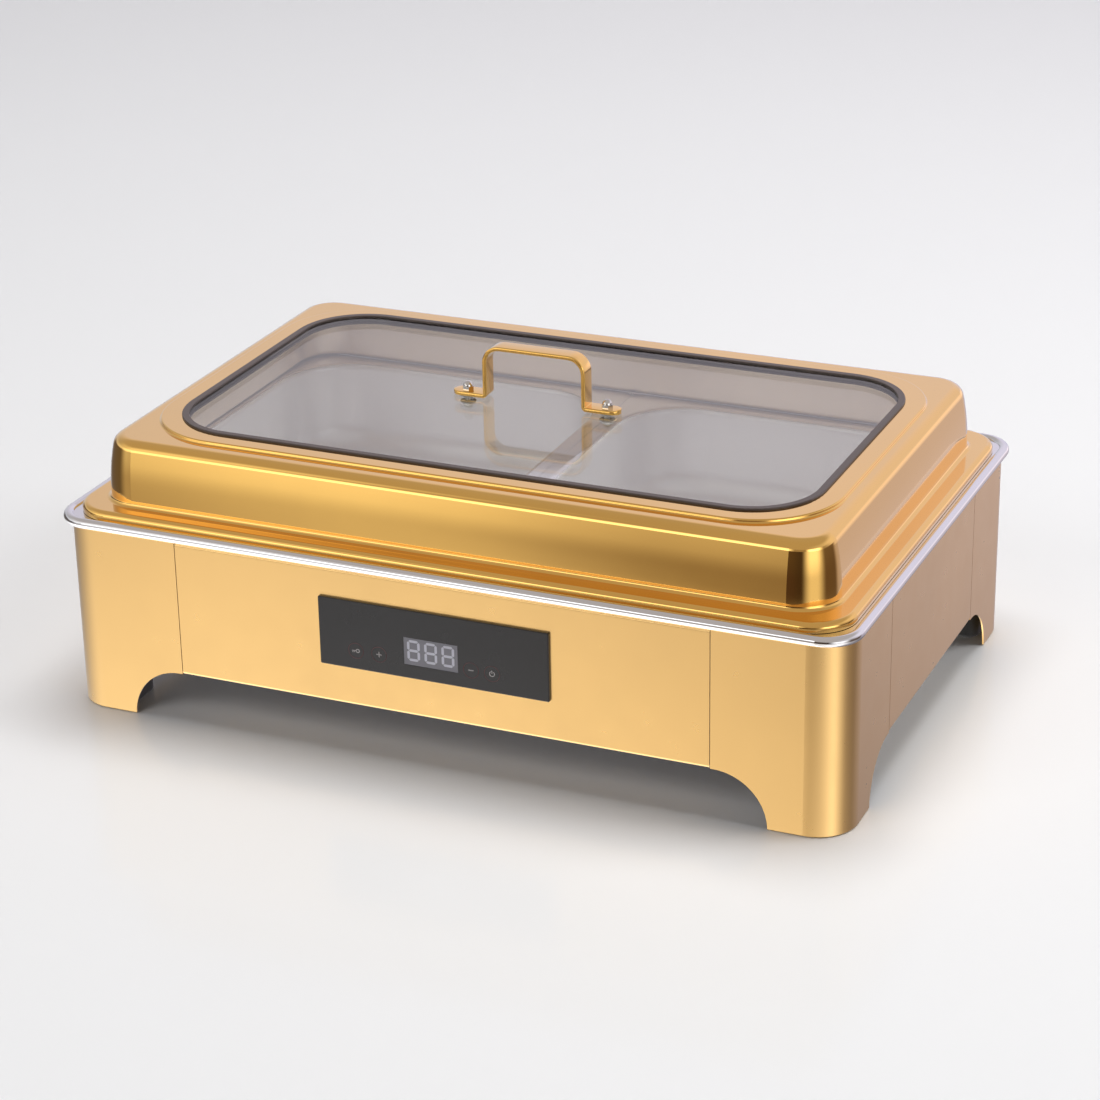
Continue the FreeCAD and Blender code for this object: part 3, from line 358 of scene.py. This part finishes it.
def lid_handle():
    """A bent flat bar with rounded edges and round feet, in place of the plain one."""
    low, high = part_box("lid_handle")
    stock, edge, span = 3.0 * MM, 1.0 * MM, 75.0 * MM
    bend, foot_bend = 12.5 * MM, 3.5 * MM
    steps, narrowest = 12, 0.05
    half_stock, half_width = stock / 2, (high.y - low.y) / 2
    centre, foot_end = (low.x + high.x) / 2, (high.x - low.x) / 2
    foot_z, top_z = low.z + half_stock, high.z - half_stock
    leg = span / 2 - half_stock
    big, small = bend - half_stock, foot_bend - half_stock
    foot, sizes = [], []
    for k in range(steps, -1, -1):
        foot.append((foot_end - half_width * (1 - k / steps), foot_z))
        sizes.append(half_width * max(math.sin(math.acos(k / steps)), narrowest))
    bent = arc(leg + small, foot_z + small, small, 270, 180, steps)
    bent += arc(leg - big, top_z - big, big, 0, 90, steps)
    right = foot + bent
    sizes += [half_width] * len(bent)
    path = [(centre + x, z) for x, z in right] + [(centre - x, z) for x, z in reversed(right)]
    sizes = sizes + sizes[::-1]
    section = strip_section(half_width, half_stock, edge)
    rings = []
    for k, ((x, z), size) in enumerate(zip(path, sizes)):
        before, after = path[max(k - 1, 0)], path[min(k + 1, len(path) - 1)]
        along = Vector((after[0] - before[0], 0, after[1] - before[1])).normalized()
        outward = Vector((along.z, 0, -along.x))
        share = size / half_width
        rings.append([Vector((x, u * share, z)) + outward * v for u, v in section])
    bm = bmesh.new()
    loft(bm, rings)
    mesh = shaded(bm, "handle_bar")
    piece = add_piece("handle_bar", mesh, FINISHES["gold_polished"], "lid")
    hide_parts("lid_handle")


def pad_places():
    """The centres of the touch areas, from the pads behind the fascia."""
    low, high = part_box("touch_pads")
    least_gap = 3 * MM
    across = sorted(vertex.co.x for vertex in nodes["touch_pads"].data.vertices)
    groups = [[across[0]]]
    for x in across[1:]:
        if x - groups[-1][-1] > least_gap:
            groups.append([])
        groups[-1].append(x)
    return [((group[0] + group[-1]) / 2, (low.z + high.z) / 2) for group in groups]


def flat_mark(bm, outline, front, thick):
    """A thin raised mark on a face that looks along -Y: a closed outline of (x, z) points."""
    middle = Vector((sum(x for x, z in outline), 0, sum(z for x, z in outline))) / len(outline)
    rings = []
    for depth, inset in MARK_STEPS:
        ring = []
        for x, z in outline:
            inward = middle - Vector((x, 0, z))
            shift = inward.normalized() * (inset * thick) if inward.length else inward
            ring.append((x + shift.x, front - depth * thick, z + shift.z))
        rings.append(ring)
    loft(bm, rings)


def bar(bm, start, end, width, front, thick):
    """A straight stroke with round ends."""
    round_steps = 6
    (x0, z0), (x1, z1) = start, end
    turn = math.degrees(math.atan2(z1 - z0, x1 - x0))
    outline = arc(x1, z1, width / 2, turn - 90, turn + 90, round_steps)
    outline += arc(x0, z0, width / 2, turn + 90, turn + 270, round_steps)
    flat_mark(bm, outline, front, thick)


def ring_mark(bm, x, z, radius, width, front, thick, start=0, end=360):
    """A round stroke from one angle to another in degrees, whole or open."""
    steps = 48
    closed = end - start >= 360
    rows = []
    count = steps if closed else steps + 1
    for k in range(count):
        angle = math.radians(start + (end - start) * k / steps)
        row = []
        for offset, depth in RING_SECTION:
            reach = radius + offset * width
            row.append((x + reach * math.cos(angle), front - depth * thick, z + reach * math.sin(angle)))
        rows.append(row)
    if closed:
        rows.append(rows[0])
    loft(bm, rows, capped=not closed)
    if closed:
        bmesh.ops.remove_doubles(bm, verts=bm.verts, dist=0.001 * MM)


def touch_marks():
    """The printed ring round each touch area, and its sign: key (lock), plus, minus and power."""
    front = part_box("control_fascia")[0].y
    thick, width, reach = 0.06 * MM, 0.55 * MM, 1.7
    ring_radius, ring_width = 5.3 * MM, 0.38 * MM
    bow_shift, bow_radius = 1.3 * MM, 1.15 * MM
    gap_end, gap_start = 125, 415
    places = pad_places()
    rings, signs = bmesh.new(), bmesh.new()
    for x, z in places:
        ring_mark(rings, x, z, ring_radius, ring_width, front, thick)
    (key_x, z), (plus_x, _), (minus_x, _), (power_x, _) = places

    def stroke(x, start, end):
        """A stroke of the sign whose middle is at x, between two points in millimetres."""
        (x0, z0), (x1, z1) = start, end
        bar(signs, (x + x0 * MM, z + z0 * MM), (x + x1 * MM, z + z1 * MM), width, front, thick)

    ring_mark(signs, key_x + bow_shift, z, bow_radius, width, front, thick)
    stroke(key_x, (-2.6, 0), (0.1, 0))
    stroke(key_x, (-2.3, 0), (-2.3, -1.0))
    stroke(key_x, (-1.2, 0), (-1.2, -0.8))
    stroke(plus_x, (-reach, 0), (reach, 0))
    stroke(plus_x, (0, -reach), (0, reach))
    stroke(minus_x, (-reach, 0), (reach, 0))
    ring_mark(signs, power_x, z, reach * MM, width, front, thick, gap_end, gap_start)
    stroke(power_x, (0, 0.4), (0, 2.2))
    red = plastic("ring_red", (0.085, 0.014, 0.016), 0.35)
    white = plastic("sign_white", (0.50, 0.47, 0.47), 0.45)
    add_piece("touch_rings", shaded(rings, "touch_rings"), red, "base")
    add_piece("touch_signs", shaded(signs, "touch_signs"), white, "base")


def segment(bm, start, end, width, front, thick):
    """One bar of a digit, with pointed ends."""
    (x0, z0), (x1, z1) = start, end
    first, last = Vector(start), Vector(end)
    along = Vector((x1 - x0, z1 - z0)).normalized()
    side = Vector((-along.y, along.x)) * width / 2
    point = along * width / 2
    outline = [first, first + point - side, last - point - side,
               last, last - point + side, first + point + side]
    flat_mark(bm, [(p.x, p.y) for p in outline], front, thick)


def display_digits():
    """Three digits of seven bars each, all bars shown."""
    low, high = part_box("display_lens")
    width, height, pitch = 7.2 * MM, 13.0 * MM, 12.1 * MM
    stroke, gap, thick = 1.75 * MM, 0.22 * MM, 0.08 * MM
    centre, base = (low.x + high.x) / 2, low.z + 3.7 * MM
    bm = bmesh.new()
    for k in (-1, 0, 1):
        left, right = centre + k * pitch - width / 2, centre + k * pitch + width / 2
        for level in (0, 1, 2):
            z = base + height / 2 * level
            segment(bm, (left + gap, z), (right - gap, z), stroke, low.y, thick)
        for level in (0, 1):
            bottom, top = base + height / 2 * level + gap, base + height / 2 * (level + 1) - gap
            for x in (left, right):
                segment(bm, (x, bottom), (x, top), stroke, low.y, thick)
    pale = plastic("digit_white", (0.60, 0.60, 0.68), 0.4)
    add_piece("display_digits", shaded(bm, "display_digits"), pale, "base")


# ---- floor, light and camera ---------------------------------------------------------------------

def floor():
    """A pale table top that curves up into a wall all round, far enough out for every view."""
    flat, bend, height, turns, sides = 4.5, 1.5, 5.0, 12, 96
    inner_rings = (0.5, 2.0)
    turned = [math.pi / 2 * k / turns for k in range(1, turns + 1)]
    profile = [(radius, 0.0) for radius in (*inner_rings, flat)]
    profile += [(flat + bend * math.sin(a), bend * (1 - math.cos(a))) for a in turned]
    profile.append((flat + bend, height))
    bm = bmesh.new()
    rows = []
    for radius, z in profile:
        angles = (2 * math.pi * k / sides for k in range(sides))
        rows.append([bm.verts.new((radius * math.cos(a), radius * math.sin(a), z)) for a in angles])
    bm.faces.new(rows[0])
    for row, after in zip(rows, rows[1:]):
        for k in range(sides):
            bm.faces.new((row[k], after[k], after[(k + 1) % sides], row[(k + 1) % sides]))
    thing = bpy.data.objects.new("floor", shaded(bm, "floor"))
    bpy.context.scene.collection.objects.link(thing)
    m = Nodes("floor")
    m.set(Roughness=0.16, IOR=1.3, Base_Color=(0.86, 0.86, 0.865, 1))
    thing.data.materials.append(m.material)
    thing.visible_glossy = False


def area_light(name, place, aim, size_x, size_y, power):
    """A soft rectangle of light that lights what is matt and shows in no mirror."""
    light = bpy.data.lights.new(name, "AREA")
    light.shape = "RECTANGLE"
    light.size, light.size_y = size_x, size_y
    light.energy = power
    thing = bpy.data.objects.new(name, light)
    thing.location = place
    thing.rotation_euler = (Vector(aim) - Vector(place)).to_track_quat("-Z", "Y").to_euler()
    thing.visible_glossy = False
    bpy.context.scene.collection.objects.link(thing)


# The painted surroundings: for each height of the direction (its Z), the colour at each azimuth in
# degrees, from 0 at the front through 90 at the right. Bright bands stand at the front left and the
# front right, dark ones between them and at both sides.
RINGS = (
    (-0.60, ((-180, (0.35, 0.34, 0.37)), (-150, (0.70, 0.70, 0.72)), (-110, (1.25, 1.24, 1.22)),
             (-60, (2.05, 2.02, 2.00)), (-25, (2.05, 2.02, 2.00)), (-21, (1.45, 1.36, 1.22)),
             (-17, (0.85, 0.78, 0.66)), (-8, (1.05, 0.98, 0.88)), (26, (1.30, 1.24, 1.18)),
             (44, (1.20, 1.16, 1.12)), (60, (1.90, 1.86, 1.82)), (78, (1.10, 1.06, 1.02)),
             (98, (0.50, 0.46, 0.46)), (130, (0.30, 0.28, 0.30)), (163, (0.18, 0.16, 0.17)),
             (180, (0.35, 0.34, 0.37)))),
    (-0.28, ((-180, (0.55, 0.52, 0.62)), (-150, (0.50, 0.50, 0.54)), (-112, (0.14, 0.12, 0.11)),
             (-72, (0.14, 0.12, 0.11)), (-44, (0.44, 0.40, 0.37)), (-34, (0.40, 0.36, 0.33)),
             (-26, (0.72, 0.69, 0.66)), (-19, (0.30, 0.25, 0.21)), (-11, (0.08, 0.05, 0.04)),
             (20, (0.06, 0.04, 0.03)), (48, (0.90, 0.87, 0.85)), (62, (0.90, 0.87, 0.85)),
             (92, (0.14, 0.10, 0.08)), (122, (0.14, 0.10, 0.08)), (140, (0.50, 0.44, 0.50)),
             (163, (0.66, 0.58, 0.62)), (180, (0.55, 0.52, 0.62)))),
    (0.02, ((-180, (0.75, 0.72, 0.86)), (-130, (0.65, 0.65, 0.68)), (-112, (0.14, 0.12, 0.11)),
            (-72, (0.14, 0.12, 0.11)), (-46, (0.66, 0.65, 0.64)), (-34, (0.62, 0.60, 0.58)),
            (-26, (1.15, 1.13, 1.10)), (-19, (0.62, 0.58, 0.54)), (-11, (0.10, 0.07, 0.05)),
            (20, (0.07, 0.05, 0.04)), (48, (1.50, 1.48, 1.45)), (62, (1.50, 1.48, 1.45)),
            (92, (0.18, 0.14, 0.12)), (122, (0.18, 0.14, 0.12)), (140, (0.85, 0.78, 0.88)),
            (163, (1.22, 1.08, 1.12)), (180, (0.75, 0.72, 0.86)))),
    (0.20, ((-180, (0.80, 0.75, 0.86)), (-110, (0.60, 0.60, 0.62)), (-70, (0.90, 0.90, 0.90)),
            (-50, (1.50, 1.50, 1.50)), (-34, (1.60, 1.60, 1.60)), (-27, (2.10, 2.10, 2.10)),
            (-16, (2.10, 2.10, 2.10)), (0, (0.35, 0.30, 0.26)),
            (30, (0.35, 0.30, 0.26)), (48, (2.60, 2.60, 2.60)), (66, (2.60, 2.60, 2.60)),
            (90, (0.40, 0.36, 0.36)), (130, (0.90, 0.84, 0.92)), (180, (0.80, 0.75, 0.86)))),
    (0.45, ((-180, (0.85, 0.79, 0.90)), (-100, (0.50, 0.48, 0.47)), (-60, (0.80, 0.76, 0.72)),
            (-34, (1.10, 1.06, 1.02)), (-27, (0.50, 0.45, 0.41)), (30, (0.50, 0.45, 0.41)),
            (80, (0.65, 0.62, 0.62)), (130, (0.90, 0.85, 0.94)), (180, (0.85, 0.79, 0.90)))),
    (0.80, ((-180, (0.50, 0.46, 0.44)), (0, (0.50, 0.45, 0.41)), (180, (0.50, 0.46, 0.44)))),
)
RING_BLEND = 0.04  # how far each ring stays unmixed above and below its height


def studio():
    """Soft surroundings that the metal mirrors, painted as the rings of RINGS. They light nothing matt."""
    world = bpy.data.worlds.new("studio")
    bpy.context.scene.world = world
    world.use_nodes = True
    tree = world.node_tree
    background = tree.nodes["Background"]
    direction = tree.nodes.new("ShaderNodeSeparateXYZ")
    tree.links.new(tree.nodes.new("ShaderNodeTexCoord").outputs["Generated"], direction.inputs["Vector"])

    def math_node(operation, *values):
        """A math node's result, from sockets and numbers."""
        node = tree.nodes.new("ShaderNodeMath")
        node.operation = operation
        for socket, value in zip(node.inputs, values):
            if isinstance(value, bpy.types.NodeSocket):
                tree.links.new(value, socket)
            else:
                socket.default_value = value
        return node.outputs["Value"]

    def ring(stops, turn):
        """The colours of one ring, by the turn round the object from 0 to 1."""
        node = tree.nodes.new("ShaderNodeValToRGB")
        node.color_ramp.interpolation = "EASE"
        elements = node.color_ramp.elements
        while len(elements) < len(stops):
            elements.new(0.5)
        # Moving an element can change its place in the list, so the colours come second.
        for element, (azimuth, _) in zip(elements, stops):
            element.position = azimuth / 360 + 0.5
        for element, (_, color) in zip(elements, stops):
            element.color = (*color, 1)
        tree.links.new(turn, node.inputs["Fac"])
        return node.outputs["Color"]

    def stacked(low, high, start, end):
        """Mix two colours by the height of the direction, from start to end."""
        height = tree.nodes.new("ShaderNodeMapRange")
        height.interpolation_type = "SMOOTHSTEP"
        height.inputs["From Min"].default_value = start
        height.inputs["From Max"].default_value = end
        tree.links.new(direction.outputs["Z"], height.inputs["Value"])
        mix = tree.nodes.new("ShaderNodeMix")
        mix.data_type = "RGBA"
        first, second, result = MIX_SOCKETS["RGBA"]
        tree.links.new(height.outputs["Result"], mix.inputs[0])
        tree.links.new(low, mix.inputs[first])
        tree.links.new(high, mix.inputs[second])
        return mix.outputs[result]

    to_front = math_node("MULTIPLY", direction.outputs["Y"], -1.0)
    azimuth = math_node("ARCTAN2", direction.outputs["X"], to_front)
    turn = math_node("MULTIPLY_ADD", azimuth, 1 / (2 * math.pi), 0.5)
    below, stops = RINGS[0]
    color = ring(stops, turn)
    for height, stops in RINGS[1:]:
        middle, reach = (below + height) / 2, (height - below) / 2 - RING_BLEND
        color = stacked(color, ring(stops, turn), middle - reach, middle + reach)
        below = height
    tree.links.new(color, background.inputs["Color"])
    world.cycles_visibility.diffuse = False


def lights():
    """The studio for the metal, and soft light from the right, the front left and above for what is matt."""
    studio()
    area_light("key", (2.2, 0.7, 1.9), (0, 0, 0.1), 1.2, 1.2, 26)
    area_light("fill", (-0.9, -2.6, 2.4), (0, 0, 0.1), 1.8, 1.2, 20)
    area_light("top", (0.1, 0.7, 4.4), (0, 0.4, 0.0), 2.8, 2.8, 150)


def camera():
    """The camera of a packshot: slightly from the right of the front and from above, with a long lens."""
    azimuth, elevation, roll = math.radians(23.7), math.radians(23.23), math.radians(-1.05)
    distance, target = 2.12995, Vector((-0.00875, 0.02546, 0.07099))
    sensor_width_mm, lens_mm = 36.0, 100.2
    back = Vector((math.sin(azimuth) * math.cos(elevation), -math.cos(azimuth) * math.cos(elevation),
                   math.sin(elevation)))
    right = Vector((math.cos(azimuth), math.sin(azimuth), 0))
    up = back.cross(right)
    turned_right = right * math.cos(roll) + up * math.sin(roll)
    turned_up = up * math.cos(roll) - right * math.sin(roll)
    data = bpy.data.cameras.new("camera")
    data.sensor_width = sensor_width_mm
    data.lens = lens_mm
    thing = bpy.data.objects.new("camera", data)
    rotation = Matrix((turned_right, turned_up, back)).transposed().to_4x4()
    thing.matrix_world = Matrix.Translation(target + back * distance) @ rotation
    bpy.context.scene.collection.objects.link(thing)
    bpy.context.scene.camera = thing


camera()
finish_nodes()
lid_handle()
touch_marks()
display_digits()
floor()
lights()
bpy.context.scene.view_settings.view_transform = "Standard"
